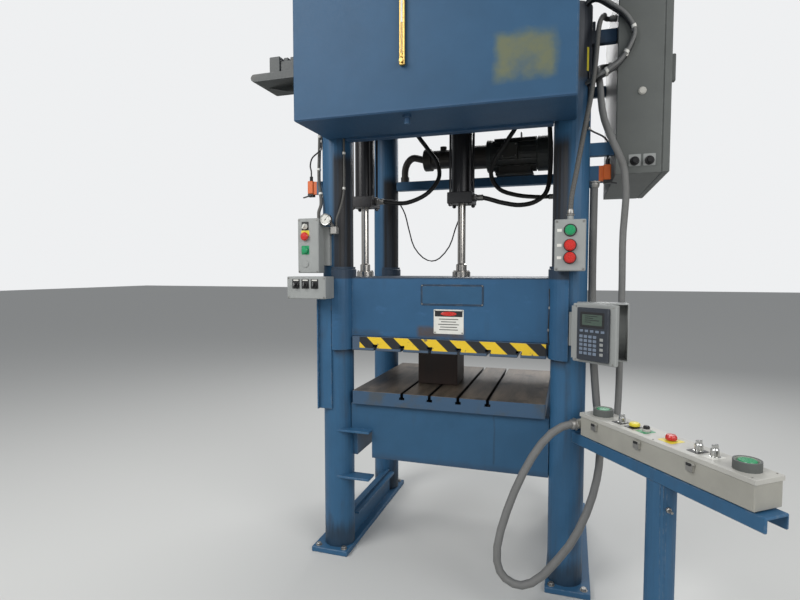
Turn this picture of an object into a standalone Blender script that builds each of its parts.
"""Four-column hydraulic press with a T-slotted bed, a guided ram, three cylinders,
a front oil tank, a motor and pump, a control cabinet and a two-hand console.

Frame: metres, +Z up, +X to the right as the operator sees it, +Y to the back.
The origin is the centre of the bed plate's top face.
"""
import bpy
import bmesh
from math import atan2, cos, pi, radians, sin
from mathutils import Matrix, Vector

# Clearances
SEAT = 0.0003            # between pieces that touch
RUNNING = 0.001          # radial, ram sleeve on column
ROD_RUNNING = 0.0006     # radial, rod in gland and piston in bore
STEM_RUNNING = 0.0006    # radial, button or knob stem in its bore
MERGE = 0.000005         # points closer than this are one
CURVE_STEPS = 24

# Columns and foot rails
BED_HEIGHT = 0.900
COLUMN_SPAN_X = 1.210
COLUMN_SPAN_Y = 0.800
COLUMN_D = 0.165
COLUMN_LENGTH = 2.740
RAIL_WIDTH = 0.210
RAIL_THICK = 0.028
RAIL_FRONT_TOE = 0.115
RAIL_REAR_TOE = 0.125
RAIL_WEB_HEIGHT = 0.150
RAIL_WEB_THICK = 0.016
RAIL_OUTSET = 0.015
LUG_HEIGHTS = (0.417, 0.674)
LUG_REACH = 0.205
LUG_DEPTH = 0.085
LUG_THICK = 0.012

# Bed
BED_PLATE_X = 1.010
BED_PLATE_Y = 0.900
BED_PLATE_THICK = 0.075
BED_BOX_HEIGHT = 0.295
BED_BOX_Y = 0.850
BED_WALL = 0.025
BED_RIBS = 3
BED_RIB_THICK = 0.020
BED_NOTCH_X = 0.120
BED_NOTCH_Z = 0.144
SLOT_PITCH = 0.150
BED_SLOTS = 4
RAM_SLOTS = 6
SLOT_NECK = 0.016
SLOT_HEAD = 0.030
SLOT_NECK_DEPTH = 0.020
SLOT_HEAD_DEPTH = 0.014
BLOCK_SIZE = (0.227, 0.200)
BLOCK_CENTRE = (-0.1005, -0.068)

# Ram
DAYLIGHT = 0.220
RAM_X = 1.030
RAM_Y = 0.860
RAM_PLATEN_X = 1.010
RAM_PLATEN_Y = 0.900
RAM_PLATEN_THICK = 0.075
RAM_BOX_HEIGHT = 0.315
RAM_WALL = 0.022
RAM_RIBS = 3
RAM_TOP_THICK = 0.030
SLEEVE_D = 0.196
SLEEVE_HEIGHT = 0.435
SLEEVE_COLLAR = 0.012
SLEEVE_EDGE = 0.002       # the half sleeves end this far inside the column axes
WING_Y = 0.560
WING_HEIGHT = 0.110
WING_REACH = 0.175

# Cylinders
CYLINDER_X = 0.605
BARREL_D = 0.120
BORE_D = 0.090
HEAD_SIDE = 0.145
HEAD_HEIGHT = 0.065
CYLINDER_LENGTH = 0.530
TIE_ROD_D = 0.014
TIE_ROD_INSET = 0.016
ROD_D = 0.046
ROD_GAP = 0.420
PISTON_LENGTH = 0.045
ROD_TAIL = 0.012
FLANGE_D = 0.105
FLANGE_THICK = 0.032
COUPLING_D = 0.062
COUPLING_LENGTH = 0.045
STROKE = 0.330

# Crown and its beams
CROWN_HEIGHT = 0.290
CROWN_Y = 0.840
CROWN_WALL = 0.025
CROWN_WING_Y = 0.560
CROWN_WING_REACH = 0.100
MOTOR_BEAM_DROP = 0.318
MOTOR_BEAM_HEIGHT = 0.057
MOTOR_BEAM_DEPTH = 0.060

# Oil tank
TANK_X = 1.250
TANK_DEPTH = 0.365
TANK_HEIGHT = 0.715
TANK_DROP = 0.225
TANK_RAIL = 0.050
TANK_EDGE = 0.006
SHELF_SIZE = (0.309, 0.230, 0.036)
SHELF_INSET = 0.130
SHELF_TOP = 1.626
SHELF_DROP = 0.105
VALVE_HEIGHT = 0.078
GAUGE_BAR_X = -0.093
GAUGE_BAR_LENGTH = 0.430
GAUGE_BAR_WIDTH = 0.024
GAUGE_BAR_THICK = 0.020
GAUGE_BAR_RISE = 0.190

# Motor and pump
MOTOR_D = 0.215
MOTOR_LEFT = 0.090
MOTOR_RIGHT = 0.490
MOTOR_FINS = 16
FIN_HEIGHT = 0.010
FIN_THICK = 0.006
BELL_D = 0.150
PUMP_D = 0.120
PUMP_LEFT = -0.330
PUMP_FLANGE_D = 0.160
SUCTION_D = 0.046
SUCTION_REACH = 0.140

# Control cabinet on the right
CABINET_GAP = 0.105
CABINET_THICK = 0.190
CABINET_FRONT = -0.475
CABINET_DEPTH = 0.905
CABINET_BOTTOM = 1.080
CABINET_HEIGHT = 0.930
CABINET_WALL = 0.012
CABINET_DOOR_THICK = 0.032
CABINET_BRACKET = 0.060

# Small control boxes
PENDANT_SIZE = (0.135, 0.070, 0.232)
PENDANT_BOTTOM = 0.645
PENDANT_GLAND = 0.018
STATION_SIZE = (0.120, 0.070, 0.285)
STATION_CENTRE_X = -0.699
STATION_BOTTOM = 0.634
SELECTOR_SIZE = (0.222, 0.105, 0.116)
SELECTOR_CENTRE_X = -0.695
SELECTOR_BOTTOM = 0.500
BOX_STANDOFF = 0.020      # clears the ram sleeves that pass behind
BOX_EDGE = 0.004
BUTTON_D = 0.040
STEM_D = 0.016
STEM_LENGTH = 0.020
BUTTON_TRAVEL = 0.004

# Strip, gauge and sensors on the columns
STRIP_WIDTH = 0.077
STRIP_THICK = 0.012
STRIP_LIP = 0.016
STRIP_BOTTOM = -0.100
DIAL_D = 0.060
DIAL_THICK = 0.026
DIAL_POSITION = (-0.607, 0.912)
DIAL_STEM_D = 0.016
SENSOR_HEIGHT = 1.100
SENSOR_SIZE = (0.030, 0.040, 0.070)
SENSOR_BAR = (0.062, 0.012, 0.070)

# Operator panel on the right column
PANEL_SIZE = (0.215, 0.120, 0.255)
PANEL_BOTTOM = 0.250
PANEL_LEFT = 0.640
PANEL_WALL = 0.006
PANEL_DOOR_THICK = 0.022
PANEL_DOOR_OPEN = 38.0
TERMINAL_DEPTH = 0.030
HINGE_BARREL_D = 0.010
HINGE_INSET = 0.012

# Two-hand console
CONSOLE_START = (0.665, -0.545)
CONSOLE_HEADING = -52.9
CONSOLE_LENGTH = 0.830
CONSOLE_WIDTH = 0.125
CONSOLE_HEIGHT = 0.105
CONSOLE_WALL = 0.004
LID_DEPTH = 0.018
LID_WALL = 0.003
BEAM_SIDE = 0.052
BEAM_LEAD = 0.085
BEAM_GAP = 0.006
POST_D = 0.110
POST_ALONG = 0.410
POST_FLANGE_D = 0.220
POST_FLANGE_THICK = 0.014
PALM_D = 0.066
PALM_INSET = 0.075
DEVICE_SHARES = (
    ("palm_button_left", 0.0), ("console_knob", 0.17), ("reset_button", 0.275), ("console_stop", 0.55),
    ("speed_knob", 0.73), ("key_switch", 0.825), ("palm_button_right", 1.0),
)
PALM_GUARD = 0.030
LAMP_SHARE = 0.37
GLAND_R = 0.022
GLAND_OUT = 0.024
GLAND_ACROSS = 0.032
GLAND_END = -0.008
GLAND_Z_CONSOLE = -0.060
LATCHES = 3

# Hoses, conduits and the loose cable
CONDUIT_D = 0.036
DROP_D = 0.030
DROP_ALONG = 0.020
DROP_STUB = 0.012
DROP_Z = -0.062
HOSE_D = 0.026
HOSE_LEAD = 0.030
PENDANT_CONDUIT_D = 0.022
CABLE_D = 0.009

# Derived levels and places
FLOOR = -BED_HEIGHT
COLUMN_X = COLUMN_SPAN_X / 2
COLUMN_Y = COLUMN_SPAN_Y / 2
COLUMN_R = COLUMN_D / 2
INNER_X = COLUMN_X - COLUMN_R - SEAT
OUTER_X = COLUMN_X + COLUMN_R + SEAT
FRONT_Y = -COLUMN_Y - COLUMN_R - SEAT
COLUMN_FOOT = FLOOR + RAIL_THICK + SEAT
COLUMN_TOP = COLUMN_FOOT + COLUMN_LENGTH
BED_BOX_TOP = -BED_PLATE_THICK - SEAT
BED_BOX_BOTTOM = BED_BOX_TOP - BED_BOX_HEIGHT
RAM_BOX_BOTTOM = DAYLIGHT + RAM_PLATEN_THICK + SEAT
RAM_TOP = RAM_BOX_BOTTOM + RAM_BOX_HEIGHT
GLAND_Z = RAM_TOP + ROD_GAP
CROWN_BOTTOM = GLAND_Z + CYLINDER_LENGTH + SEAT
TANK_BOTTOM = CROWN_BOTTOM - TANK_DROP
MOTOR_BEAM_TOP = CROWN_BOTTOM - MOTOR_BEAM_DROP
MOTOR_Z = MOTOR_BEAM_TOP + MOTOR_D / 2 + 0.030
CONSOLE_ANGLE = radians(CONSOLE_HEADING)

for old in list(bpy.data.objects):
    bpy.data.objects.remove(old, do_unlink=True)

PARTS = bpy.data.collections.new("hydraulic_press")
CUTTERS = bpy.data.collections.new("cutters")
bpy.context.scene.collection.children.link(PARTS)
bpy.context.scene.collection.children.link(CUTTERS)

# name: colour, roughness, metallic
FINISHES = {
    "press_blue": ((0.10, 0.19, 0.33), 0.45, 0.0),
    "machined_steel": ((0.28, 0.24, 0.21), 0.50, 0.8),
    "chrome_rod": ((0.52, 0.50, 0.47), 0.25, 1.0),
    "black_oily": ((0.03, 0.03, 0.035), 0.40, 0.2),
    "motor_green": ((0.10, 0.12, 0.11), 0.50, 0.1),
    "enclosure_grey": ((0.47, 0.48, 0.46), 0.50, 0.0),
    "hazard_yellow": ((0.80, 0.62, 0.05), 0.50, 0.0),
    "signal_red": ((0.62, 0.06, 0.05), 0.35, 0.0),
    "signal_green": ((0.06, 0.42, 0.20), 0.35, 0.0),
    "signal_orange": ((0.85, 0.25, 0.06), 0.40, 0.0),
    "signal_white": ((0.80, 0.80, 0.78), 0.35, 0.0),
    "black_plastic": ((0.03, 0.03, 0.03), 0.45, 0.0),
    "rubber_hose": ((0.04, 0.04, 0.04), 0.60, 0.0),
    "grey_conduit": ((0.22, 0.22, 0.21), 0.60, 0.0),
    "rusty_block": ((0.10, 0.05, 0.035), 0.70, 0.4),
}


def material(finish):
    """One Principled material for each finish, made the first time it is asked for."""
    known = bpy.data.materials.get(finish)
    if known:
        return known
    colour, roughness, metallic = FINISHES[finish]
    made = bpy.data.materials.new(finish)
    made.use_nodes = True
    shader = made.node_tree.nodes["Principled BSDF"]
    shader.inputs["Base Color"].default_value = (*colour, 1.0)
    shader.inputs["Roughness"].default_value = roughness
    shader.inputs["Metallic"].default_value = metallic
    made.diffuse_color = (*colour, 1.0)
    return made


def from_bmesh(bm, name="blank"):
    """An object made from a bmesh, outside the parts until it is placed by part()."""
    mesh = bpy.data.meshes.new(name)
    bm.to_mesh(mesh)
    bm.free()
    made = bpy.data.objects.new(name, mesh)
    CUTTERS.objects.link(made)
    made.hide_render = True
    made.display_type = "WIRE"
    return made


def bake(source):
    """Replaces an object's mesh by its evaluated one and drops its modifiers."""
    graph = bpy.context.evaluated_depsgraph_get()
    graph.update()
    mesh = bpy.data.meshes.new_from_object(source.evaluated_get(graph))
    source.modifiers.clear()
    bm = bmesh.new()
    bm.from_mesh(mesh)
    bmesh.ops.remove_doubles(bm, verts=bm.verts, dist=MERGE)
    bmesh.ops.dissolve_degenerate(bm, edges=bm.edges, dist=MERGE)
    bm.to_mesh(mesh)
    bm.free()
    source.data = mesh
    return source


def box(low, high, bevel=0.0):
    """A box between two corners, its edges rounded by one flat bevel."""
    low = Vector(low)
    high = Vector(high)
    bm = bmesh.new()
    bmesh.ops.create_cube(bm, size=1.0)
    size = high - low
    bmesh.ops.scale(bm, vec=size, verts=bm.verts)
    bmesh.ops.translate(bm, vec=(low + high) / 2, verts=bm.verts)
    made = from_bmesh(bm)
    if bevel > 0:
        edge = made.modifiers.new("edge", "BEVEL")
        edge.width = bevel
        edge.segments = 1
        bake(made)
    return made


def rod(start, end, radius, sides=24, end_radius=None):
    """A cylinder or cone from one point to another."""
    start = Vector(start)
    end = Vector(end)
    bm = bmesh.new()
    tip = radius if end_radius is None else end_radius
    bmesh.ops.create_cone(bm, cap_ends=True, segments=sides, radius1=radius, radius2=tip,
                          depth=(end - start).length)
    turn = Vector((0, 0, 1)).rotation_difference(end - start).to_matrix().to_4x4()
    bmesh.ops.transform(bm, matrix=Matrix.Translation((start + end) / 2) @ turn, verts=bm.verts)
    return from_bmesh(bm)


def turned(profile, centre, axis=(0, 0, 1), sides=24):
    """A solid of revolution: (radius, height) points run down the outer side, Screw turns them."""
    bm = bmesh.new()
    points = [bm.verts.new((radius, 0, height)) for radius, height in profile]
    for upper, lower in zip(points, points[1:]):
        bm.edges.new((upper, lower))
    made = from_bmesh(bm)
    screw = made.modifiers.new("turn", "SCREW")
    screw.steps = sides
    screw.render_steps = sides
    screw.use_merge_vertices = True
    screw.merge_threshold = 0.0001
    screw.use_smooth_shade = True
    bake(made)
    turn = Vector((0, 0, 1)).rotation_difference(Vector(axis)).to_matrix().to_4x4()
    made.data.transform(Matrix.Translation(centre) @ turn)
    return made


def cut(base, *tools):
    """Cuts each tool out of the base and removes it."""
    for tool in tools:
        boolean = base.modifiers.new("cut", "BOOLEAN")
        boolean.operation = "DIFFERENCE"
        boolean.solver = "EXACT"
        boolean.object = tool
        bake(base)
        bpy.data.objects.remove(tool, do_unlink=True)
    return base


def fuse(base, *others):
    """Joins overlapping pieces into one body."""
    for other in others:
        boolean = base.modifiers.new("fuse", "BOOLEAN")
        boolean.operation = "UNION"
        boolean.solver = "EXACT"
        boolean.object = other
        bake(base)
        bpy.data.objects.remove(other, do_unlink=True)
    return base


def part(shape, name, finish, origin=(0, 0, 0)):
    """Names a finished shape, gives it its origin and material and files it with the parts."""
    shape.name = name
    shape.data.name = name
    shape.data.transform(Matrix.Translation(-Vector(origin)))
    shape.location = origin
    shape.data.materials.clear()
    shape.data.materials.append(material(finish))
    shape.data.shade_smooth()
    shape.data.set_sharp_from_angle(angle=radians(35))
    CUTTERS.objects.unlink(shape)
    PARTS.objects.link(shape)
    shape.hide_render = False
    shape.display_type = "TEXTURED"
    return shape


def smooth_route(points, count):
    """Even points on a Catmull-Rom curve; its first and last stretches stay straight and square to a face."""
    points = [Vector(p) for p in points]
    first, lead, second = points[:3]
    last_but_two, tail, last = points[-3:]
    entry = (lead - first).normalized() * (second - lead).length
    leave = (last - tail).normalized() * (tail - last_but_two).length
    guides = [second - 2 * entry] + points[1:-1] + [last_but_two + 2 * leave]
    dense = []
    for before, start, end, after in zip(guides, guides[1:], guides[2:], guides[3:]):
        for step in range(CURVE_STEPS):
            t = step / CURVE_STEPS
            dense.append(0.5 * (2 * start + (end - before) * t
                                + (2 * before - 5 * start + 4 * end - after) * t ** 2
                                + (3 * start - before - 3 * end + after) * t ** 3))
    dense.append(points[-2])
    lengths = [0.0]
    for near, far in zip(dense, dense[1:]):
        lengths.append(lengths[-1] + (far - near).length)
    route = [points[0]]
    at = 0
    for index in range(count):
        target = lengths[-1] * index / (count - 1)
        while at < len(lengths) - 2 and lengths[at + 1] < target:
            at += 1
        span = lengths[at + 1] - lengths[at]
        route.append(dense[at].lerp(dense[at + 1], (target - lengths[at]) / span))
    route.append(points[-1])
    return route


def tube(points, radius, count=28, resolution=2):
    """A hose or wire along a smooth route, with closed ends."""
    curve = bpy.data.curves.new("route", "CURVE")
    curve.dimensions = "3D"
    curve.bevel_depth = radius
    curve.bevel_resolution = resolution
    curve.use_fill_caps = True
    spline = curve.splines.new("POLY")
    route = smooth_route(points, count)
    spline.points.add(len(route) - 1)
    for place, point in zip(spline.points, route):
        place.co = (*point, 1.0)
    holder = bpy.data.objects.new("route", curve)
    CUTTERS.objects.link(holder)
    graph = bpy.context.evaluated_depsgraph_get()
    graph.update()
    mesh = bpy.data.meshes.new_from_object(holder.evaluated_get(graph))
    bm = bmesh.new()
    bm.from_mesh(mesh)
    bmesh.ops.remove_doubles(bm, verts=bm.verts, dist=0.00002)
    bmesh.ops.recalc_face_normals(bm, faces=bm.faces)
    bpy.data.meshes.remove(mesh)
    bpy.data.objects.remove(holder, do_unlink=True)
    return from_bmesh(bm)


def slot_places(count):
    """Centres of evenly pitched T-slots about X = 0."""
    return [(index - (count - 1) / 2) * SLOT_PITCH for index in range(count)]


def t_slot(x, mouth, inward, half_length):
    """Cutters of one T-slot along Y: its neck at the mouth face and its wider head behind."""
    past = 0.01
    neck_end = mouth + inward * (SLOT_NECK_DEPTH + SLOT_HEAD_DEPTH / 2)
    head_start = mouth + inward * SLOT_NECK_DEPTH
    head_end = mouth + inward * (SLOT_NECK_DEPTH + SLOT_HEAD_DEPTH)
    outside = mouth - inward * past
    y = half_length + past
    neck = box((x - SLOT_NECK / 2, -y, min(outside, neck_end)),
               (x + SLOT_NECK / 2, y, max(outside, neck_end)))
    head = box((x - SLOT_HEAD / 2, -y - past, min(head_start, head_end)),
               (x + SLOT_HEAD / 2, y + past, max(head_start, head_end)))
    return [fuse(neck, head)]


def build_base():
    """Foot rails and the four columns, with the two lugs on the front left one."""
    for side, label in ((-1, "left"), (1, "right")):
        middle = side * (COLUMN_X + RAIL_OUTSET)
        rail = box((middle - RAIL_WIDTH / 2, -COLUMN_Y - RAIL_FRONT_TOE, FLOOR),
                   (middle + RAIL_WIDTH / 2, COLUMN_Y + RAIL_REAR_TOE, FLOOR + RAIL_THICK), 0.003)
        web_x = side * (COLUMN_X - COLUMN_R / 2)
        reach = COLUMN_Y - COLUMN_R - SEAT
        web = box((web_x - RAIL_WEB_THICK / 2, -reach, FLOOR + RAIL_THICK / 2),
                  (web_x + RAIL_WEB_THICK / 2, reach, FLOOR + RAIL_THICK + RAIL_WEB_HEIGHT))
        flange = box((web_x - RAIL_WIDTH / 5, -reach, FLOOR + RAIL_WEB_HEIGHT),
                     (web_x + RAIL_WIDTH / 5, reach, FLOOR + RAIL_WEB_HEIGHT + RAIL_THICK / 2))
        part(fuse(rail, web, flange), f"foot_rail_{label}", "press_blue")
        for depth, end in ((-1, "front"), (1, "rear")):
            x = side * COLUMN_X
            y = depth * COLUMN_Y
            profile = [(0, COLUMN_TOP), (COLUMN_R - 0.006, COLUMN_TOP), (COLUMN_R, COLUMN_TOP - 0.006),
                       (COLUMN_R, COLUMN_FOOT), (0, COLUMN_FOOT)]
            column = turned(profile, (x, y, 0), sides=32)
            if (side, depth) == (-1, -1):
                for height in LUG_HEIGHTS:
                    z = FLOOR + height
                    lug = box((x, y - COLUMN_R * 0.98, z), (x + LUG_REACH, y - COLUMN_R * 0.98 + LUG_DEPTH,
                                                          z + LUG_THICK), 0.002)
                    lug_is_bed_level = z + LUG_THICK > BED_BOX_BOTTOM
                    if lug_is_bed_level:
                        wall_front = -BED_BOX_Y / 2 - SEAT
                        bite = box((-INNER_X, wall_front, z - LUG_THICK),
                                   (0, 0, z + LUG_THICK * 2))
                        cut(lug, bite)
                    fuse(column, lug)
                strip_left = -COLUMN_X - SLEEVE_EDGE - STRIP_WIDTH
                strip_right = strip_left + STRIP_WIDTH
                strip_top = SELECTOR_BOTTOM - SEAT
                strip = box((strip_left, FRONT_Y - STRIP_THICK, STRIP_BOTTOM),
                            (strip_right, FRONT_Y + SEAT, strip_top), 0.002)
                rib = box((strip_right - STRIP_WIDTH * 0.6, FRONT_Y - STRIP_THICK / 2,
                           STRIP_BOTTOM + STRIP_THICK),
                          (strip_right, y - COLUMN_R * 0.7, strip_top - STRIP_THICK))
                lip = box((strip_left, FRONT_Y - STRIP_THICK - STRIP_LIP, STRIP_BOTTOM),
                          (strip_left + STRIP_THICK / 2, FRONT_Y - STRIP_THICK / 3, strip_top))
                fuse(column, strip, rib, lip)
            if side == 1:
                cabinet_side = OUTER_X + CABINET_GAP - SEAT
                for z in (CABINET_BOTTOM + 0.10, CABINET_BOTTOM + CABINET_HEIGHT - 0.32):
                    fuse(column, box((x, y - 0.018, z), (cabinet_side, y + 0.018, z + CABINET_BRACKET),
                                     0.002))
            part(column, f"column_{end}_{label}", "press_blue")


def build_bed():
    """Bed box with ribs, T-slotted bed plate and the block that the ram rests on."""
    half_y = BED_BOX_Y / 2
    shell = box((-INNER_X, -half_y, BED_BOX_BOTTOM), (INNER_X, half_y, BED_BOX_TOP), 0.002)
    for side_x in (-1, 1):
        for side_y in (-1, 1):
            column = rod((side_x * COLUMN_X, side_y * COLUMN_Y, BED_BOX_BOTTOM - 0.05),
                         (side_x * COLUMN_X, side_y * COLUMN_Y, BED_BOX_TOP + 0.05), COLUMN_R + SEAT, 32)
            cut(shell, column)
    bays = BED_RIBS + 1
    inner = 2 * (INNER_X - BED_WALL)
    bay = (inner - BED_RIBS * BED_RIB_THICK) / bays
    for index in range(bays):
        start = -inner / 2 + index * (bay + BED_RIB_THICK)
        hollow = box((start, -half_y + BED_WALL, BED_BOX_BOTTOM - 0.02),
                     (start + bay, half_y - BED_WALL, BED_BOX_TOP - BED_WALL))
        window = rod((start + bay / 2, 0, BED_BOX_TOP - BED_WALL * 2),
                     (start + bay / 2, 0, BED_BOX_TOP + 0.02),
                     bay * 0.3, 16)
        cut(shell, hollow, window)
    notch = box((-INNER_X - 0.02, -half_y - 0.02, BED_BOX_BOTTOM - 0.02),
                (-INNER_X + BED_NOTCH_X, -half_y + BED_WALL + 0.001, BED_BOX_BOTTOM + BED_NOTCH_Z))
    part(cut(shell, notch), "bed_box", "press_blue")

    plate = box((-BED_PLATE_X / 2, -BED_PLATE_Y / 2, -BED_PLATE_THICK),
                (BED_PLATE_X / 2, BED_PLATE_Y / 2, 0), 0.003)
    for x in slot_places(BED_SLOTS):
        cut(plate, *t_slot(x, 0.0, -1, BED_PLATE_Y / 2))
    part(plate, "bed_plate", "machined_steel")

    width, depth = BLOCK_SIZE
    x, y = BLOCK_CENTRE
    block = box((x - width / 2, y - depth / 2, SEAT), (x + width / 2, y + depth / 2, DAYLIGHT - SEAT), 0.004)
    part(block, "rest_block", "rusty_block")


def build_ram():
    """Ram box with its sleeves and side wings, T-slotted platen, and the three rods."""
    half_x = RAM_X / 2
    half_y = RAM_Y / 2
    ram = box((-half_x, -half_y, RAM_BOX_BOTTOM), (half_x, half_y, RAM_TOP), 0.002)
    bays = RAM_RIBS + 1
    inner = 2 * (half_x - RAM_WALL)
    bay = (inner - RAM_RIBS * RAM_WALL) / bays
    for index in range(bays):
        start = -inner / 2 + index * (bay + RAM_WALL)
        hollow = box((start, -half_y + RAM_WALL, RAM_BOX_BOTTOM - 0.02),
                     (start + bay, half_y - RAM_WALL, RAM_TOP - RAM_TOP_THICK))
        cut(ram, hollow)
    for side in (-1, 1):
        inside = side * (half_x - RAM_WALL / 2)
        outside = side * (half_x + WING_REACH)
        wing = box((min(inside, outside), -WING_Y / 2, RAM_TOP - WING_HEIGHT),
                   (max(inside, outside), WING_Y / 2, RAM_TOP), 0.002)
        fuse(ram, wing)
        for depth in (-1, 1):
            centre = (side * COLUMN_X, depth * COLUMN_Y)
            top = DAYLIGHT + SLEEVE_HEIGHT
            collar_top = top + SLEEVE_COLLAR
            collar_r = SLEEVE_D / 2 - 0.005
            profile = [(0, collar_top), (collar_r, collar_top), (collar_r, top),
                       (SLEEVE_D / 2, top - 0.003), (SLEEVE_D / 2, DAYLIGHT + 0.003),
                       (SLEEVE_D / 2 - 0.003, DAYLIGHT), (0, DAYLIGHT)]
            fuse(ram, turned(profile, (*centre, 0), sides=32))
    for side in (-1, 1):
        near = side * (COLUMN_X - SLEEVE_EDGE)
        far = side * (COLUMN_X + SLEEVE_D)
        for depth in (-1, 1):
            bore = rod((side * COLUMN_X, depth * COLUMN_Y, DAYLIGHT - 0.05),
                       (side * COLUMN_X, depth * COLUMN_Y, RAM_TOP + 0.2), COLUMN_R + RUNNING, 32)
            inner_y = depth * (COLUMN_Y - SLEEVE_D / 2 - 0.01)
            outer_y = depth * (COLUMN_Y + SLEEVE_D / 2 + 0.01)
            outer_half = box((min(near, far), min(inner_y, outer_y), DAYLIGHT - 0.05),
                             (max(near, far), max(inner_y, outer_y), RAM_TOP + 0.2))
            cut(ram, outer_half, bore)
    part(ram, "ram_box", "press_blue")

    plate = box((-RAM_PLATEN_X / 2, -RAM_PLATEN_Y / 2, DAYLIGHT),
                (RAM_PLATEN_X / 2, RAM_PLATEN_Y / 2, DAYLIGHT + RAM_PLATEN_THICK), 0.003)
    for x in slot_places(RAM_SLOTS):
        cut(plate, *t_slot(x, DAYLIGHT, 1, RAM_PLATEN_Y / 2))
    for side in (-1, 1):
        for depth in (-1, 1):
            relief = rod((side * COLUMN_X, depth * COLUMN_Y, DAYLIGHT - 0.05),
                         (side * COLUMN_X, depth * COLUMN_Y, DAYLIGHT + 0.2), SLEEVE_D / 2 + SEAT, 32)
            cut(plate, relief)
    part(plate, "ram_platen", "machined_steel")

    piston_bottom = GLAND_Z + HEAD_HEIGHT + SEAT * 4
    piston_top = piston_bottom + PISTON_LENGTH
    for label, x in (("left", -CYLINDER_X), ("centre", 0.0), ("right", CYLINDER_X)):
        foot = RAM_TOP + SEAT
        shank = ROD_D / 2
        profile = [(0, piston_top + ROD_TAIL), (shank * 0.7, piston_top + ROD_TAIL),
                   (shank * 0.7, piston_top), (BORE_D / 2 - ROD_RUNNING, piston_top),
                   (BORE_D / 2 - ROD_RUNNING, piston_bottom), (shank, piston_bottom),
                   (shank, foot + FLANGE_THICK + COUPLING_LENGTH),
                   (COUPLING_D / 2, foot + FLANGE_THICK + COUPLING_LENGTH - 0.006),
                   (COUPLING_D / 2, foot + FLANGE_THICK), (FLANGE_D / 2, foot + FLANGE_THICK - 0.003),
                   (FLANGE_D / 2, foot), (0, foot)]
        part(turned(profile, (x, 0, 0), sides=24), f"piston_rod_{label}", "chrome_rod")


def build_cylinders():
    """Tie-rod cylinders hung from the crown, bored for piston and rod."""
    for label, x in (("left", -CYLINDER_X), ("centre", 0.0), ("right", CYLINDER_X)):
        top = GLAND_Z + CYLINDER_LENGTH
        half = HEAD_SIDE / 2
        body = rod((x, 0, GLAND_Z + HEAD_HEIGHT / 2), (x, 0, top - HEAD_HEIGHT / 2), BARREL_D / 2, 24)
        lower = box((x - half, -half, GLAND_Z), (x + half, half, GLAND_Z + HEAD_HEIGHT), 0.003)
        upper = box((x - half, -half, top - HEAD_HEIGHT), (x + half, half, top), 0.003)
        fuse(body, lower, upper)
        inset = half - TIE_ROD_INSET
        for dx in (-inset, inset):
            for dy in (-inset, inset):
                tie = rod((x + dx, dy, GLAND_Z - 0.014), (x + dx, dy, top - HEAD_HEIGHT / 2),
                          TIE_ROD_D / 2, 8)
                nut = rod((x + dx, dy, GLAND_Z - 0.010), (x + dx, dy, GLAND_Z + 0.004), TIE_ROD_D * 0.85, 6)
                fuse(body, tie, nut)
        bore_top = GLAND_Z + HEAD_HEIGHT + PISTON_LENGTH + ROD_TAIL + STROKE + 0.014
        profile = [(0, bore_top), (BORE_D / 2, bore_top), (BORE_D / 2, GLAND_Z + HEAD_HEIGHT),
                   (ROD_D / 2 + ROD_RUNNING, GLAND_Z + HEAD_HEIGHT),
                   (ROD_D / 2 + ROD_RUNNING, GLAND_Z - 0.05),
                   (0, GLAND_Z - 0.05)]
        cut(body, turned(profile, (x, 0, 0), sides=24))
        part(body, f"cylinder_{label}", "black_oily")


def build_crown():
    """Crown weldment between the column heads, column caps and the beam under the motor."""
    top = CROWN_BOTTOM + CROWN_HEIGHT
    half_y = CROWN_Y / 2
    crown = box((-INNER_X, -half_y, CROWN_BOTTOM), (INNER_X, half_y, top), 0.003)
    for side in (-1, 1):
        inside = side * (INNER_X - CROWN_WALL)
        outside = side * (INNER_X + COLUMN_R + CROWN_WING_REACH)
        wing = box((min(inside, outside), -CROWN_WING_Y / 2, CROWN_BOTTOM),
                   (max(inside, outside), CROWN_WING_Y / 2, top), 0.003)
        fuse(crown, wing)
        for depth in (-1, 1):
            cut(crown, rod((side * COLUMN_X, depth * COLUMN_Y, CROWN_BOTTOM - 0.05),
                           (side * COLUMN_X, depth * COLUMN_Y, top + 0.05), COLUMN_R + SEAT, 32))
    for side in (-1, 1):
        middle = side * INNER_X / 2
        reach = INNER_X / 2 - CROWN_WALL - HEAD_SIDE / 2
        pocket = box((middle - reach, -half_y + CROWN_WALL, CROWN_BOTTOM + CROWN_WALL),
                     (middle + reach, half_y - CROWN_WALL, top + 0.02))
        cut(crown, pocket)
    part(crown, "crown", "press_blue")

    y = COLUMN_Y
    half = MOTOR_BEAM_DEPTH / 2
    beam = box((-INNER_X, y - half, MOTOR_BEAM_TOP - MOTOR_BEAM_HEIGHT),
               (INNER_X, y + half, MOTOR_BEAM_TOP), 0.002)
    channel = box((-INNER_X - 0.01, y + half - 0.046, MOTOR_BEAM_TOP - MOTOR_BEAM_HEIGHT + 0.008),
                  (INNER_X + 0.01, y + half + 0.01, MOTOR_BEAM_TOP - 0.008))
    cut(beam, channel)
    for side in (-1, 1):
        cut(beam, rod((side * COLUMN_X, y, MOTOR_BEAM_TOP - 0.2), (side * COLUMN_X, y, MOTOR_BEAM_TOP + 0.2),
                      COLUMN_R + SEAT, 32))
    part(beam, "motor_beam", "press_blue")


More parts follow.
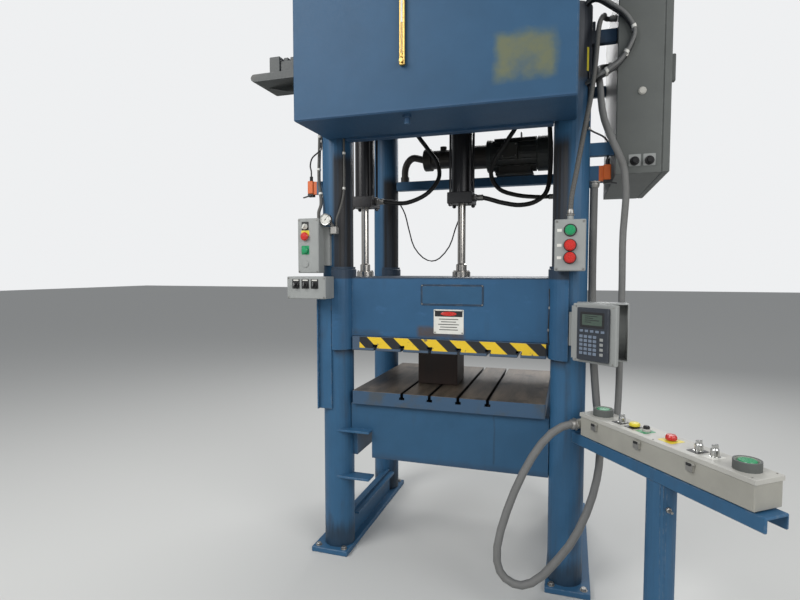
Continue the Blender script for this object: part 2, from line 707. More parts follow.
def build_tank():
    """Oil tank with its lid rim, drain and rear rail, and the sight gauge on its front."""
    rear = FRONT_Y
    front = rear - TANK_DEPTH
    top = TANK_BOTTOM + TANK_HEIGHT
    tank = box((-TANK_X / 2, front, TANK_BOTTOM), (TANK_X / 2, rear, top), TANK_EDGE)
    rim = box((-TANK_X / 2 - 0.008, front - 0.008, top - 0.012),
              (TANK_X / 2 + 0.008, rear - SEAT, top + 0.006), 0.002)
    rail = box((-INNER_X, rear - 0.004, TANK_BOTTOM - 0.010),
               (INNER_X, rear + TANK_RAIL, TANK_BOTTOM + TANK_RAIL), 0.002)
    for side in (-1, 1):
        cut(rail, rod((side * COLUMN_X, -COLUMN_Y, TANK_BOTTOM - 0.1),
                      (side * COLUMN_X, -COLUMN_Y, TANK_BOTTOM + 0.2),
                      COLUMN_R + SEAT, 32))
    drain_y = front + 0.060
    drain = turned([(0, 0.004), (0.020, 0.004), (0.020, -0.012), (0.013, -0.012), (0.013, -0.040),
                    (0, -0.040)],
                   (GAUGE_BAR_X, drain_y, TANK_BOTTOM), sides=12)
    breather_x = TANK_X * 0.3
    breather = turned([(0, 0.085), (0.036, 0.080), (0.040, 0.030), (0.022, 0.026), (0.022, -0.004),
                       (0, -0.004)],
                      (breather_x, (front + rear) / 2, top), sides=20)
    part(fuse(tank, rim, rail, drain, breather), "oil_tank", "press_blue")

    side_face = -TANK_X / 2 - SEAT
    reach, depth, thick = SHELF_SIZE
    shelf_y = front + SHELF_INSET
    nose_x = side_face - reach + thick / 2
    shelf = box((nose_x, shelf_y, SHELF_TOP - thick), (side_face, shelf_y + depth, SHELF_TOP))
    nose = rod((nose_x, shelf_y, SHELF_TOP - thick / 2), (nose_x, shelf_y + depth, SHELF_TOP - thick / 2),
               thick / 2, 12)
    valve_left = side_face - reach * 0.675
    valve_right = valve_left + VALVE_HEIGHT * 0.75
    valve = box((valve_left, shelf_y + 0.012, SHELF_TOP - thick / 2),
                (valve_right, shelf_y + depth * 0.5, SHELF_TOP + VALVE_HEIGHT), 0.003)
    block = box((valve_right - 0.004, shelf_y + 0.020, SHELF_TOP - thick / 2),
                (side_face - 0.010, shelf_y + depth * 0.8, SHELF_TOP + VALVE_HEIGHT * 0.72), 0.003)
    fuse(shelf, nose, valve, block)
    for index in range(3):
        start = valve_right + 0.012 + index * 0.036
        fuse(shelf, box((start, shelf_y + 0.030, SHELF_TOP + VALVE_HEIGHT * 0.6),
                        (start + 0.024, shelf_y + depth * 0.7, SHELF_TOP + VALVE_HEIGHT * 0.95), 0.002))
    foot_left = side_face - reach * 0.876
    gusset = box((foot_left, shelf_y + depth * 0.45, SHELF_TOP - SHELF_DROP),
                 (side_face, shelf_y + depth * 0.45 + 0.010, SHELF_TOP - thick / 2))
    slope = box((-SHELF_DROP * 6, -0.05, -SHELF_DROP), (SHELF_DROP * 6, 0.05, 0))
    tilt = atan2(SHELF_DROP - thick, side_face - foot_left)
    slope.data.transform(Matrix.Translation((foot_left, shelf_y + depth * 0.5,
                                             SHELF_TOP - thick)) @ Matrix.Rotation(tilt, 4, "Y"))
    fuse(shelf, cut(gusset, slope))
    part(shelf, "side_shelf", "black_oily")

    low = TANK_BOTTOM + GAUGE_BAR_RISE
    high = low + GAUGE_BAR_LENGTH
    half = GAUGE_BAR_WIDTH / 2
    face = front - SEAT
    bar = box((GAUGE_BAR_X - half, face - GAUGE_BAR_THICK, low), (GAUGE_BAR_X + half, face, high), 0.003)
    glass = box((GAUGE_BAR_X - half * 0.45, face - GAUGE_BAR_THICK - 0.01, low + 0.035),
                (GAUGE_BAR_X + half * 0.45, face - GAUGE_BAR_THICK + 0.005, high - 0.035))
    cut(bar, glass)
    for z in (low + 0.016, high - 0.016):
        bolt = rod((GAUGE_BAR_X, face - GAUGE_BAR_THICK - 0.012, z),
                   (GAUGE_BAR_X, face - GAUGE_BAR_THICK + 0.004, z),
                   half * 0.75, 6)
        fuse(bar, bolt)
    part(bar, "sight_gauge", "hazard_yellow")


def build_motor():
    """Finned electric motor on the beam, with the pump on its left end."""
    y = COLUMN_Y
    radius = MOTOR_D / 2
    core = radius - FIN_HEIGHT
    length = MOTOR_RIGHT - MOTOR_LEFT
    profile = [(0, length), (radius * 0.84, length), (radius, length - 0.018), (radius, length - 0.085),
               (core, length - 0.090), (core, 0.032), (radius * 0.95, 0.028), (radius * 0.95, 0), (0, 0)]
    motor = turned(profile, (MOTOR_LEFT, y, MOTOR_Z), axis=(1, 0, 0), sides=32)
    for index in range(MOTOR_FINS):
        angle = 2 * pi * index / MOTOR_FINS
        fin = box((MOTOR_LEFT + 0.045, -FIN_THICK / 2, radius - FIN_HEIGHT * 2.5),
                  (MOTOR_RIGHT - 0.095, FIN_THICK / 2, radius))
        fin.data.transform(Matrix.Translation((0, y, MOTOR_Z)) @ Matrix.Rotation(angle + 0.05, 4, "X"))
        fuse(motor, fin)
    feet = box((MOTOR_LEFT + 0.06, y - radius * 0.8, MOTOR_BEAM_TOP + SEAT),
               (MOTOR_RIGHT - 0.11, y + radius * 0.8, MOTOR_BEAM_TOP + 0.014), 0.002)
    saddle = box((MOTOR_LEFT + 0.08, y - radius * 0.55, MOTOR_BEAM_TOP + 0.006),
                 (MOTOR_RIGHT - 0.13, y + radius * 0.55, MOTOR_Z - radius * 0.6))
    terminal = box((MOTOR_LEFT + 0.10, y - radius - 0.045, MOTOR_Z - 0.045),
                   (MOTOR_LEFT + 0.20, y - radius * 0.7, MOTOR_Z + 0.045), 0.004)
    part(fuse(motor, feet, saddle, terminal), "motor", "motor_green")

    right = MOTOR_LEFT - SEAT
    length = right - PUMP_LEFT
    pump = turned([(0, length), (BELL_D / 2, length), (BELL_D / 2, length * 0.72),
                   (BELL_D / 2 - 0.016, length * 0.68),
                   (PUMP_FLANGE_D / 2, length * 0.64), (PUMP_FLANGE_D / 2, length * 0.58),
                   (PUMP_D / 2, length * 0.55), (PUMP_D / 2, length * 0.14),
                   (PUMP_D / 2 + 0.012, length * 0.12),
                   (PUMP_D / 2 + 0.012, 0.004), (PUMP_D / 2 + 0.008, 0), (0, 0)],
                  (PUMP_LEFT, y, MOTOR_Z), axis=(1, 0, 0), sides=24)
    port_x = PUMP_LEFT + length * 0.3
    port = rod((port_x, y, MOTOR_Z), (port_x, y, MOTOR_Z + PUMP_D / 2 + 0.022), 0.022, 12)
    rise = MOTOR_Z - MOTOR_BEAM_TOP - SEAT
    bend = SUCTION_REACH
    arc = [(PUMP_LEFT + 0.010, 0), (PUMP_LEFT - bend * 0.25, 0.012), (PUMP_LEFT - bend * 0.62, 0.020),
           (PUMP_LEFT - bend * 0.90, -0.016), (PUMP_LEFT - bend, -rise * 0.55),
           (PUMP_LEFT - bend, -rise * 0.82)]
    pipe = tube([(x, y, MOTOR_Z + dz) for x, dz in arc], SUCTION_D / 2, count=14, resolution=3)
    foot_x = PUMP_LEFT - bend
    foot = rod((foot_x, y, MOTOR_BEAM_TOP + SEAT), (foot_x, y, MOTOR_BEAM_TOP + rise * 0.24),
               SUCTION_D * 0.62, 16)
    part(fuse(pump, port, pipe, foot), "pump", "black_oily")


def build_cabinet():
    """Wall-type electrical cabinet on the right columns; its door is hinged at the rear edge."""
    left = OUTER_X + CABINET_GAP
    right = left + CABINET_THICK
    rear = CABINET_FRONT + CABINET_DEPTH
    top = CABINET_BOTTOM + CABINET_HEIGHT
    cabinet = box((left, CABINET_FRONT, CABINET_BOTTOM), (right, rear, top), 0.003)
    hollow = box((left + CABINET_WALL, CABINET_FRONT + CABINET_WALL, CABINET_BOTTOM + CABINET_WALL),
                 (right + 0.02, rear - CABINET_WALL, top - CABINET_WALL))
    cut(cabinet, hollow)
    backplate = box((left + CABINET_WALL * 0.5, CABINET_FRONT + 0.06, CABINET_BOTTOM + 0.06),
                    (left + CABINET_WALL + 0.008, rear - 0.06, top - 0.06))
    fuse(cabinet, backplate)
    knob_z = CABINET_BOTTOM + 0.055
    for index in range(2):
        x = left + CABINET_THICK * (0.42 + 0.32 * index)
        knob = turned([(0, 0.030), (0.010, 0.030), (0.014, 0.026), (0.014, 0.008), (0.020, 0.006),
                       (0.020, -0.004),
                       (0, -0.004)], (x, CABINET_FRONT, knob_z), axis=(0, -1, 0), sides=16)
        fuse(cabinet, knob)
    plug = turned([(0, 0.010), (0.012, 0.010), (0.017, 0.004), (0.017, -0.004), (0, -0.004)],
                  (left + CABINET_THICK * 0.55, CABINET_FRONT, CABINET_BOTTOM + 0.36), axis=(0, -1, 0),
                  sides=16)
    fuse(cabinet, plug)
    part(cabinet, "control_cabinet", "enclosure_grey")

    face = right + SEAT
    door = box((face, CABINET_FRONT, CABINET_BOTTOM), (face + CABINET_DOOR_THICK, rear, top), 0.004)
    recess = box((face - 0.01, CABINET_FRONT + 0.03, CABINET_BOTTOM + 0.03),
                 (face + CABINET_DOOR_THICK - 0.006, rear - 0.03, top - 0.03))
    cut(door, recess)
    handle = box((face + CABINET_DOOR_THICK - 0.002, CABINET_FRONT + 0.05, (CABINET_BOTTOM + top) / 2 - 0.06),
                 (face + CABINET_DOOR_THICK + 0.022, CABINET_FRONT + 0.075,
                  (CABINET_BOTTOM + top) / 2 + 0.06), 0.004)
    part(fuse(door, handle), "cabinet_door", "enclosure_grey", origin=(face, rear, CABINET_BOTTOM))


def button_bore(x, face, z):
    """Cutter of the blind hole behind a front-facing button or knob."""
    depth = STEM_LENGTH + BUTTON_TRAVEL + 0.004
    return rod((x, face - 0.01, z), (x, face + depth, z), STEM_D / 2 + STEM_RUNNING, 16)


def front_button(name, finish, x, face, z, head_d=BUTTON_D, mushroom=False):
    """A push button facing the operator: head proud of the bezel by its travel, stem in its bore."""
    head = head_d / 2
    gap = BUTTON_TRAVEL + SEAT
    height = 0.016 if mushroom else 0.012
    profile = [(0, gap + height), (head * 0.75, gap + height - 0.001), (head, gap + height * 0.55),
               (head, gap + 0.003),
               (head * 0.8, gap), (STEM_D / 2, gap), (STEM_D / 2, -STEM_LENGTH), (0, -STEM_LENGTH)]
    part(turned(profile, (x, face, z), axis=(0, -1, 0), sides=16), name, finish, origin=(x, face, z))


def front_knob(name, finish, x, face, z):
    """A selector knob with a raised grip bar, turning about its stem."""
    disc = turned([(0, 0.010), (0.013, 0.010), (0.015, 0.008), (0.015, SEAT), (STEM_D / 2, SEAT),
                   (STEM_D / 2, -STEM_LENGTH), (0, -STEM_LENGTH)], (x, face, z), axis=(0, -1, 0), sides=16)
    grip = box((-0.004, -0.024, -0.013), (0.004, -0.006, 0.013), 0.0015)
    grip.data.transform(Matrix.Translation((x, face, z)) @ Matrix.Rotation(radians(30), 4, "Y"))
    part(fuse(disc, grip), name, finish, origin=(x, face, z))


def saddle_foot(side, reach, low, high):
    """A foot from a box's back to the front of a column, on the outer side of the column's axis."""
    near = side * (COLUMN_X + SLEEVE_EDGE)
    far = side * (COLUMN_X + reach)
    foot = box((min(near, far), FRONT_Y - BOX_STANDOFF - PANEL_WALL / 2, low),
               (max(near, far), -COLUMN_Y - COLUMN_R / 2, high))
    column = rod((side * COLUMN_X, -COLUMN_Y, low - 0.05), (side * COLUMN_X, -COLUMN_Y, high + 0.05),
                 COLUMN_R + SEAT, 32)
    return cut(foot, column)


def build_boxes():
    """Push-button boxes on the front columns, with their buttons and knobs."""
    seat = FRONT_Y - BOX_STANDOFF
    width, depth, height = PENDANT_SIZE
    face = seat - depth
    pendant = box((COLUMN_X - width / 2, face, PENDANT_BOTTOM),
                  (COLUMN_X + width / 2, seat, PENDANT_BOTTOM + height), BOX_EDGE)
    fuse(pendant, saddle_foot(1, 0.050, PENDANT_BOTTOM + 0.03, PENDANT_BOTTOM + height - 0.03))
    gland = rod((COLUMN_X, seat - depth / 2, PENDANT_BOTTOM + height - 0.004),
                (COLUMN_X, seat - depth / 2, PENDANT_BOTTOM + height + PENDANT_GLAND), 0.014, 12)
    fuse(pendant, gland)
    rows = [PENDANT_BOTTOM + height * share for share in (0.79, 0.50, 0.26)]
    for z in rows:
        cut(pendant, button_bore(COLUMN_X, face, z))
    part(pendant, "pendant_box", "enclosure_grey")
    front_button("start_button", "signal_green", COLUMN_X, face, rows[0], 0.046)
    front_button("stop_button", "signal_red", COLUMN_X, face, rows[1], 0.050, mushroom=True)
    front_button("return_button", "signal_red", COLUMN_X, face, rows[2], 0.050, mushroom=True)

    width, depth, height = STATION_SIZE
    left = STATION_CENTRE_X - width / 2
    face = seat - depth
    station = box((left, face, STATION_BOTTOM), (left + width, seat, STATION_BOTTOM + height), BOX_EDGE)
    fuse(station, saddle_foot(-1, 0.064, STATION_BOTTOM + 0.04, STATION_BOTTOM + height - 0.04))
    rows = [STATION_BOTTOM + height * share for share in (0.85, 0.67, 0.42, 0.17)]
    x = STATION_CENTRE_X - 0.016
    for z in rows[:3]:
        cut(station, button_bore(x, face, z))
    fuse(station, rod((x, face - 0.004, rows[3]), (x, face + 0.004, rows[3]), 0.018, 20))
    part(station, "left_station", "enclosure_grey")
    front_knob("station_selector", "signal_white", x, face, rows[0])
    front_button("station_stop", "signal_red", x, face, rows[1], 0.044, mushroom=True)
    front_button("station_start", "signal_green", x, face, rows[2], 0.036)

    width, depth, height = SELECTOR_SIZE
    left = SELECTOR_CENTRE_X - width / 2
    face = seat - depth
    selector = box((left, face, SELECTOR_BOTTOM), (left + width, seat, SELECTOR_BOTTOM + height), BOX_EDGE)
    fuse(selector, saddle_foot(-1, 0.060, SELECTOR_BOTTOM + 0.03, SELECTOR_BOTTOM + height - 0.03))
    z = SELECTOR_BOTTOM + height * 0.62
    places = [left + width * share for share in (0.24, 0.48, 0.72)]
    for x in places:
        cut(selector, button_bore(x, face, z))
    part(selector, "selector_box", "enclosure_grey")
    for index, x in enumerate(places):
        front_knob(f"mode_selector_{index + 1}", "signal_white", x, face, z)


def build_column_fittings():
    """Pressure dial on the left column, sensors on both sides."""
    seat = FRONT_Y
    x, z = DIAL_POSITION
    radius = DIAL_D / 2
    back = seat - 0.052
    dial = turned([(0, DIAL_THICK - 0.004), (radius * 0.86, DIAL_THICK - 0.004), (radius * 0.9, DIAL_THICK),
                   (radius, DIAL_THICK - 0.003), (radius, 0), (0, 0)], (x, back, z), axis=(0, -1, 0),
                   sides=28)
    stem_x = -COLUMN_X - SLEEVE_EDGE - DIAL_STEM_D / 2
    stem = rod((stem_x, back - 0.008, z), (stem_x, seat, z), DIAL_STEM_D / 2, 10)
    clear_y = seat - BOX_STANDOFF
    valve = box((x + 0.018, clear_y - 0.036, z - 0.075), (x + 0.052, clear_y, z - 0.035), 0.003)
    arm = rod((x, clear_y - 0.018, z + 0.004), (x + 0.035, clear_y - 0.018, z - 0.050), 0.009, 10)
    part(fuse(dial, stem, arm, valve), "pressure_dial", "signal_white")

    for side, label in ((-1, "left"), (1, "right")):
        bar_x, bar_y, bar_z = SENSOR_BAR
        x = side * (OUTER_X + bar_x)
        bar = box((min(side * COLUMN_X, x), -COLUMN_Y - bar_y, SENSOR_HEIGHT - bar_z / 2),
                  (max(side * COLUMN_X, x), -COLUMN_Y + bar_y, SENSOR_HEIGHT + bar_z / 2), 0.002)
        cut(bar, rod((side * COLUMN_X, -COLUMN_Y, SENSOR_HEIGHT - 0.2),
                     (side * COLUMN_X, -COLUMN_Y, SENSOR_HEIGHT + 0.2),
                     COLUMN_R + SEAT, 32))
        size_x, size_y, size_z = SENSOR_SIZE
        far = x + side * size_x
        sensor = box((min(x - side * 0.004, far), -COLUMN_Y - size_y / 2, SENSOR_HEIGHT - size_z / 2 + 0.004),
                     (max(x - side * 0.004, far), -COLUMN_Y + size_y / 2,
                      SENSOR_HEIGHT + size_z / 2 + 0.004), 0.004)
        plug = rod((x + side * size_x / 2, -COLUMN_Y, SENSOR_HEIGHT + size_z / 2),
                   (x + side * size_x / 2, -COLUMN_Y, SENSOR_HEIGHT + size_z / 2 + 0.030), 0.009, 10)
        part(fuse(bar, sensor, plug), f"sensor_{label}", "signal_orange")


def build_panel():
    """Operator panel on the right column: an open box and its door, left ajar, with the terminal."""
    width, depth, height = PANEL_SIZE
    left = PANEL_LEFT
    right = left + width
    front = FRONT_Y - depth
    top = PANEL_BOTTOM + height
    panel = box((left, front, PANEL_BOTTOM), (right, FRONT_Y - BOX_STANDOFF, top), BOX_EDGE)
    hollow = box((left + PANEL_WALL, front - 0.02, PANEL_BOTTOM + PANEL_WALL),
                 (right - PANEL_WALL, FRONT_Y - BOX_STANDOFF - PANEL_WALL, top - PANEL_WALL))
    cut(panel, hollow)
    fuse(panel, saddle_foot(1, 0.060, PANEL_BOTTOM + 0.05, top - 0.05))
    part(panel, "panel_box", "enclosure_grey")

    barrel_r = HINGE_BARREL_D / 2
    hinge = Vector((left - barrel_r - SEAT, front + barrel_r, PANEL_BOTTOM))
    back = front - SEAT
    face = back - PANEL_DOOR_THICK
    door = box((left, face, PANEL_BOTTOM), (right, back, top), BOX_EDGE)
    recess = box((left + PANEL_WALL * 2, face + PANEL_WALL, PANEL_BOTTOM + PANEL_WALL * 2),
                 (right - PANEL_WALL * 2, back + 0.01, top - PANEL_WALL * 2))
    cut(door, recess)
    terminal = box((left + width * 0.16, face - 0.008, PANEL_BOTTOM + height * 0.06),
                   (left + width * 0.86, face + TERMINAL_DEPTH - 0.012, PANEL_BOTTOM + height * 0.93), 0.002)
    leaf = box((hinge.x - barrel_r, face + PANEL_WALL, PANEL_BOTTOM + HINGE_INSET),
               (left + 0.003, back - BOX_EDGE, top - HINGE_INSET))
    knuckle = box((hinge.x - barrel_r, face + PANEL_WALL * 2, PANEL_BOTTOM + HINGE_INSET * 1.5),
                  (hinge.x + barrel_r, hinge.y, top - HINGE_INSET * 1.5))
    barrel = rod((hinge.x, hinge.y, PANEL_BOTTOM + HINGE_INSET * 1.5),
                 (hinge.x, hinge.y, top - HINGE_INSET * 1.5), barrel_r, 12)
    fuse(door, terminal, leaf, knuckle, barrel)
    swing = Matrix.Translation(hinge) @ Matrix.Rotation(-radians(PANEL_DOOR_OPEN), 4,
                                                        "Z") @ Matrix.Translation(-hinge)
    door.data.transform(swing)
    part(door, "panel_door", "enclosure_grey", origin=hinge)


def console_matrix():
    """Places console pieces: X along the console, Y across it to the back, Z up."""
    return Matrix.Translation((*CONSOLE_START, 0)) @ Matrix.Rotation(CONSOLE_ANGLE, 4, "Z")


def lid_button(name, finish, along, across, head_d, height, travel):
    """A push button standing on the console lid, its stem through the lid."""
    head = head_d / 2
    gap = travel + SEAT
    profile = [(0, gap + height), (head * 0.8, gap + height - 0.0015), (head, gap + height * 0.55),
               (head, gap + 0.002),
               (head * 0.85, gap), (STEM_D / 2, gap), (STEM_D / 2, -STEM_LENGTH), (0, -STEM_LENGTH)]
    place = console_matrix() @ Vector((along, across, 0))
    part(turned(profile, place, sides=20), name, finish, origin=place)


def lid_knob(name, finish, along, across, height):
    """A tall chromed selector on the console lid."""
    place = console_matrix() @ Vector((along, across, 0))
    body = turned([(0, height * 0.72), (0.011, height * 0.72), (0.014, height * 0.6), (0.015, 0.004),
                   (0.019, 0.003),
                   (0.019, SEAT), (STEM_D / 2, SEAT), (STEM_D / 2, -STEM_LENGTH), (0, -STEM_LENGTH)],
                   place, sides=16)
    grip = box((-0.0045, -0.013, height * 0.3), (0.0045, 0.013, height), 0.0015)
    grip.data.transform(Matrix.Translation(place) @ Matrix.Rotation(CONSOLE_ANGLE, 4, "Z"))
    part(fuse(body, grip), name, finish, origin=place)


def build_console():
    """Two-hand console: beam and post, box with latches, hinged lid and what stands on the lid."""
    place = console_matrix()
    box_top = -LID_DEPTH * 0.5
    box_bottom = -CONSOLE_HEIGHT
    beam_top = box_bottom - BEAM_GAP
    beam_bottom = beam_top - BEAM_SIDE
    beam = box((-BEAM_LEAD, 0.01, beam_bottom), (CONSOLE_LENGTH + 0.03, CONSOLE_WIDTH - 0.01, beam_top),
               0.003)
    channel = box((-BEAM_LEAD - 0.2, 0.018, beam_bottom - 0.02),
                  (CONSOLE_LENGTH + 0.05, CONSOLE_WIDTH - 0.018, beam_top - 0.008))
    cut(beam, channel)
    for along in (0.12, CONSOLE_LENGTH - 0.12):
        pad = box((along - 0.03, 0.03, beam_top - 0.004),
                  (along + 0.03, CONSOLE_WIDTH - 0.03, box_bottom - SEAT))
        fuse(beam, pad)
    post_mid = CONSOLE_WIDTH / 2
    post = turned([(0, beam_top - 0.004), (POST_D / 2 - 0.002, beam_top - 0.004),
                   (POST_D / 2 - 0.002, beam_bottom),
                   (POST_D / 2, beam_bottom), (POST_D / 2, FLOOR + POST_FLANGE_THICK),
                   (POST_FLANGE_D / 2, FLOOR + POST_FLANGE_THICK), (POST_FLANGE_D / 2, FLOOR), (0, FLOOR)],
                  (POST_ALONG, post_mid, 0), sides=28)
    fuse(beam, post)
    beam.data.transform(place)
    cut(beam, rod((COLUMN_X, -COLUMN_Y, beam_bottom - 0.2), (COLUMN_X, -COLUMN_Y, beam_top + 0.2),
                  COLUMN_R + SEAT, 32))
    part(beam, "console_stand", "press_blue")

    body = box((0, 0, box_bottom), (CONSOLE_LENGTH, CONSOLE_WIDTH, box_top), 0.003)
    hollow = box((CONSOLE_WALL, CONSOLE_WALL, box_bottom + CONSOLE_WALL),
                 (CONSOLE_LENGTH - CONSOLE_WALL, CONSOLE_WIDTH - CONSOLE_WALL, box_top + 0.02))
    cut(body, hollow)
    stub = rod((0.002, GLAND_ACROSS, GLAND_Z_CONSOLE),
               (-GLAND_OUT - GLAND_R * 0.7, GLAND_ACROSS, GLAND_Z_CONSOLE), GLAND_R * 0.9, 16)
    elbow = rod((-GLAND_OUT, GLAND_ACROSS + GLAND_R * 0.8, GLAND_Z_CONSOLE),
                (-GLAND_OUT, GLAND_END, GLAND_Z_CONSOLE), GLAND_R, 16)
    rear = rod((DROP_ALONG, CONSOLE_WIDTH - 0.002, DROP_Z),
               (DROP_ALONG, CONSOLE_WIDTH + DROP_STUB, DROP_Z), DROP_D * 0.62, 16)
    fuse(body, stub, elbow, rear)
    for index in range(LATCHES):
        along = CONSOLE_LENGTH * (0.12 + 0.30 * index)
        latch = box((along - 0.014, -0.012, box_top - 0.046),
                    (along + 0.014, 0.002, box_top - LID_DEPTH * 0.5 - 0.006), 0.002)
        loop = rod((along - 0.018, -0.008, box_top - 0.020), (along + 0.018, -0.008, box_top - 0.020),
                   0.004, 8)
        fuse(body, latch, loop)
    body.data.transform(place)
    part(body, "console_box", "enclosure_grey")

    wide = 0.004
    lid = box((-wide, -wide, -LID_DEPTH), (CONSOLE_LENGTH + wide, CONSOLE_WIDTH + wide, 0), 0.002)
    under = box((-SEAT, -SEAT, -LID_DEPTH - 0.01), (CONSOLE_LENGTH + SEAT, CONSOLE_WIDTH + SEAT,
                                                    -LID_WALL - 0.0015))
    cut(lid, under)
    between_palms = CONSOLE_LENGTH - 2 * PALM_INSET
    devices = [(name, PALM_INSET + between_palms * share) for name, share in DEVICE_SHARES]
    across = CONSOLE_WIDTH / 2
    for name, along in devices:
        if name.startswith("palm"):
            ring = rod((along, across, -0.0015), (along, across, PALM_GUARD), PALM_D / 2 + 0.009, 24)
            well = rod((along, across, -0.0005), (along, across, PALM_GUARD + 0.02), PALM_D / 2 + 0.0025, 24)
            cut(fuse(lid, ring), well)
        cut(lid, rod((along, across, -0.03), (along, across, 0.03), STEM_D / 2 + STEM_RUNNING, 16))
    lamp = turned([(0, 0.022), (0.010, 0.021), (0.012, 0.012), (0.017, 0.008), (0.017, -0.002), (0, -0.002)],
                  (PALM_INSET + between_palms * LAMP_SHARE, across, 0), sides=16)
    fuse(lid, lamp)
    lid.data.transform(place)
    hinge = place @ Vector((0, CONSOLE_WIDTH + wide, -LID_DEPTH))
    part(lid, "console_lid", "enclosure_grey", origin=hinge)
    spots = dict(devices)
    lid_button("palm_button_left", "signal_green", spots["palm_button_left"], across, PALM_D, 0.026, 0.006)
    lid_button("palm_button_right", "signal_green", spots["palm_button_right"], across, PALM_D, 0.026, 0.006)
    lid_button("reset_button", "hazard_yellow", spots["reset_button"], across, 0.044, 0.016, BUTTON_TRAVEL)
    lid_button("console_stop", "signal_red", spots["console_stop"], across, 0.042, 0.020, BUTTON_TRAVEL)
    lid_knob("console_knob", "chrome_rod", spots["console_knob"], across, 0.034)
    lid_knob("speed_knob", "chrome_rod", spots["speed_knob"], across, 0.040)
    lid_knob("key_switch", "chrome_rod", spots["key_switch"], across, 0.044)


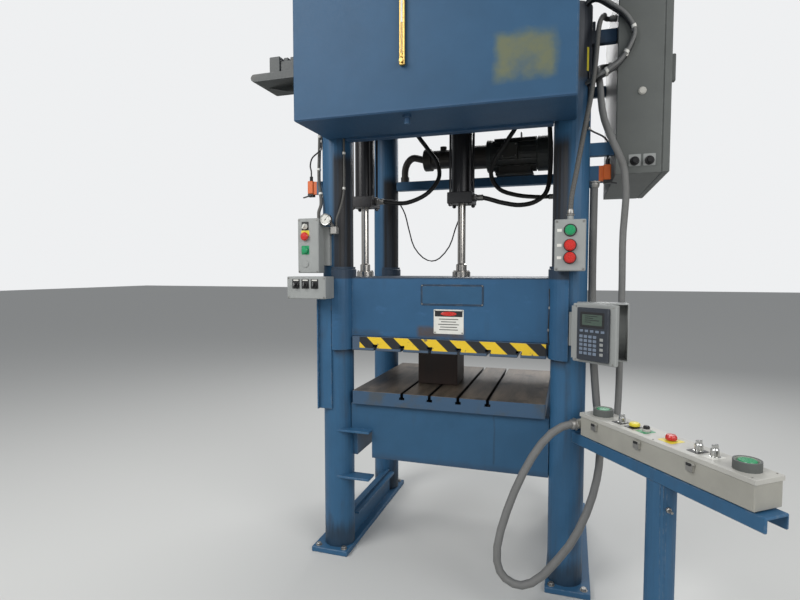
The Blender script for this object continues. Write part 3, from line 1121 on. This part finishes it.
def build_hoses():
    """What hangs free: routes chosen point by point, each end 0.3 mm from the face it meets."""
    place = console_matrix()
    gland = place @ Vector((-GLAND_OUT, GLAND_END - SEAT, GLAND_Z_CONSOLE))
    lead = place @ Vector((-GLAND_OUT, GLAND_END - HOSE_LEAD, GLAND_Z_CONSOLE))
    bar_bottom = SENSOR_HEIGHT - SENSOR_BAR[2] / 2 - SEAT
    side_x = OUTER_X + CONDUIT_D / 2 + 0.002
    route = [(side_x, -COLUMN_Y, bar_bottom), (side_x, -COLUMN_Y, bar_bottom - HOSE_LEAD),
             (side_x, -0.402, 0.600),
             (0.716, -0.402, 0.300), (0.740, -0.385, 0.000), (0.758, -0.375, -0.150), (0.755, -0.400, -0.300),
             (0.718, -0.500, -0.430), (0.650, -0.600, -0.560), (0.570, -0.665, -0.655),
             (0.492, -0.705, -0.730),
             (0.415, -0.720, -0.762), (0.342, -0.722, -0.731), (0.313, -0.722, -0.650),
             (0.330, -0.715, -0.520),
             (0.392, -0.690, -0.330), (0.470, -0.645, -0.175), (0.545, -0.590, -0.090), tuple(lead),
             tuple(gland)]
    part(tube(route, CONDUIT_D / 2, count=46), "console_conduit", "grey_conduit")

    left = OUTER_X + CABINET_GAP - SEAT
    gland_y = FRONT_Y - BOX_STANDOFF - PENDANT_SIZE[1] / 2
    gland_z = PENDANT_BOTTOM + PENDANT_SIZE[2] + PENDANT_GLAND + SEAT
    route = [(COLUMN_X, gland_y, gland_z), (COLUMN_X, gland_y, gland_z + HOSE_LEAD), (0.632, -0.540, 1.120),
             (0.662, -0.540, 1.300), (0.682, -0.530, 1.420), (0.700, -0.510, 1.580), (0.712, -0.480, 1.740),
             (0.735, -0.410, 1.815), (left - HOSE_LEAD, -0.330, 1.830), (left, -0.330, 1.830)]
    part(tube(route, PENDANT_CONDUIT_D / 2, count=32), "pendant_conduit", "grey_conduit")

    stub = place @ Vector((DROP_ALONG, CONSOLE_WIDTH + DROP_STUB + SEAT, DROP_Z))
    turn = place @ Vector((DROP_ALONG, CONSOLE_WIDTH + DROP_STUB + HOSE_LEAD, DROP_Z))
    rise = place @ Vector((DROP_ALONG, CONSOLE_WIDTH + 0.066, 0.020))
    route = [(left, -0.240, 1.640), (left - HOSE_LEAD, -0.240, 1.640), (0.722, -0.345, 1.590),
             (0.722, -0.480, 1.470),
             (0.735, -0.535, 1.330), (0.775, -0.545, 1.215), (0.822, -0.530, 1.110), (0.838, -0.500, 0.980),
             (0.832, -0.470, 0.800), (0.836, -0.440, 0.560), (0.834, -0.440, 0.300), tuple(rise),
             tuple(turn), tuple(stub)]
    part(tube(route, DROP_D / 2, count=42), "drop_conduit", "grey_conduit")

    crown = CROWN_BOTTOM - SEAT
    head = HEAD_SIDE / 2 + SEAT
    port_z = GLAND_Z + HEAD_HEIGHT * 0.55
    route = [(head, 0.0, port_z), (head + HOSE_LEAD, 0.0, port_z), (0.230, 0.010, 1.034),
             (0.330, 0.020, 1.018),
             (0.420, 0.040, 1.040), (0.478, 0.070, 1.110), (0.492, 0.090, 1.280), (0.485, 0.095, 1.440),
             (0.480, 0.095, crown - HOSE_LEAD), (0.480, 0.095, crown)]
    part(tube(route, HOSE_D / 2, count=30), "hose_lower_right", "rubber_hose")
    route = [(0.300, 0.150, crown), (0.300, 0.150, crown - HOSE_LEAD), (0.235, 0.155, 1.410),
             (0.170, 0.165, 1.320),
             (0.142, 0.180, 1.225), (0.190, 0.200, 1.140), (0.290, 0.240, 1.105), (0.400, 0.320, 1.100),
             (INNER_X - HOSE_LEAD, COLUMN_Y, 1.110), (INNER_X, COLUMN_Y, 1.110)]
    part(tube(route, HOSE_D / 2, count=30), "hose_upper_right", "rubber_hose")
    route = [(-0.320, 0.130, crown), (-0.320, 0.130, crown - HOSE_LEAD), (-0.245, 0.128, 1.400),
             (-0.180, 0.120, 1.310),
             (-0.165, 0.110, 1.210), (-0.230, 0.080, 1.115), (-0.340, 0.040, 1.060),
             (-0.440, 0.010, port_z - 0.008),
             (-CYLINDER_X + head + HOSE_LEAD, 0.0, port_z), (-CYLINDER_X + head, 0.0, port_z)]
    part(tube(route, HOSE_D / 2, count=30), "hose_left", "rubber_hose")

    beam_bottom = MOTOR_BEAM_TOP - MOTOR_BEAM_HEIGHT - SEAT
    behind = COLUMN_Y + COLUMN_R
    head_x = -CYLINDER_X + 0.030
    head_z = GLAND_Z + HEAD_HEIGHT * 0.6
    route = [(-0.040, COLUMN_Y, beam_bottom), (-0.040, COLUMN_Y, beam_bottom - HOSE_LEAD),
             (-0.080, behind, 1.080),
             (-0.135, behind, 0.940), (-0.180, behind, 0.810), (-0.265, behind, 0.720),
             (-0.350, behind, 0.725),
             (-0.430, behind, 0.810), (-0.470, behind, 0.940), (-0.485, 0.430, 1.045), (-0.505, 0.300, 1.110),
             (head_x, head + HOSE_LEAD * 2, head_z + 0.020), (head_x, head + HOSE_LEAD, head_z),
             (head_x, head, head_z)]
    part(tube(route, CABLE_D / 2, count=36), "loop_cable", "black_plastic")


build_base()
build_bed()
build_ram()
build_cylinders()
build_crown()
build_tank()
build_motor()
build_cabinet()
build_boxes()
build_column_fittings()
build_panel()
build_console()
build_hoses()
